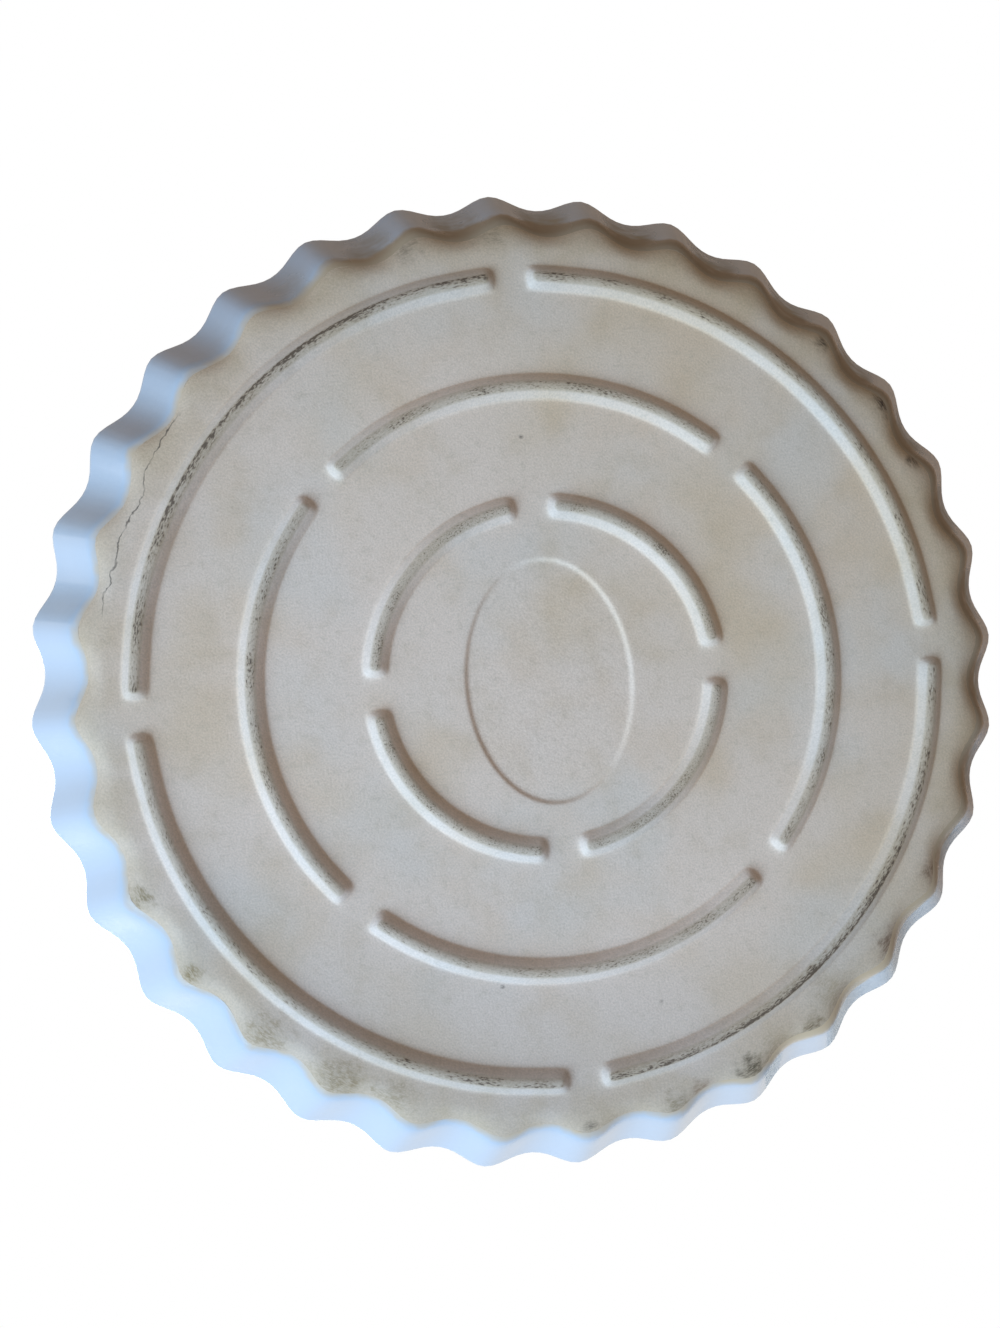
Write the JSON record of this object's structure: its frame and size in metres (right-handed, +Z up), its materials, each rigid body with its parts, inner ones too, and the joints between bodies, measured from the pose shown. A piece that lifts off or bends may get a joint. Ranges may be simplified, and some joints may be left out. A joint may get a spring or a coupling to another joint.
{
  "type": "fluted baking dish",
  "caption": "Round shallow fluted baking dish with a bare clay base on broken foot rings and a white glazed inside, rim and outer wall.",
  "frame": {"origin": "under the middle of the dish, on the plane that the crests of its feet stand on", "axes": "+Z up out of the open mouth; +Y along the long axis of the oval panel under the base; a flute crest lies on +X and on +Y"},
  "size_m": [0.28, 0.28, 0.032],
  "materials": {
    "bare_clay": "matt, fine sandy, fired but unglazed",
    "white_glaze": "glossy white glaze"
  },
  "bodies": {
    "root": {"clay_body": "bare_clay", "outside_glaze": "white_glaze", "inside_glaze": "white_glaze"}
  },
  "joints": []
}
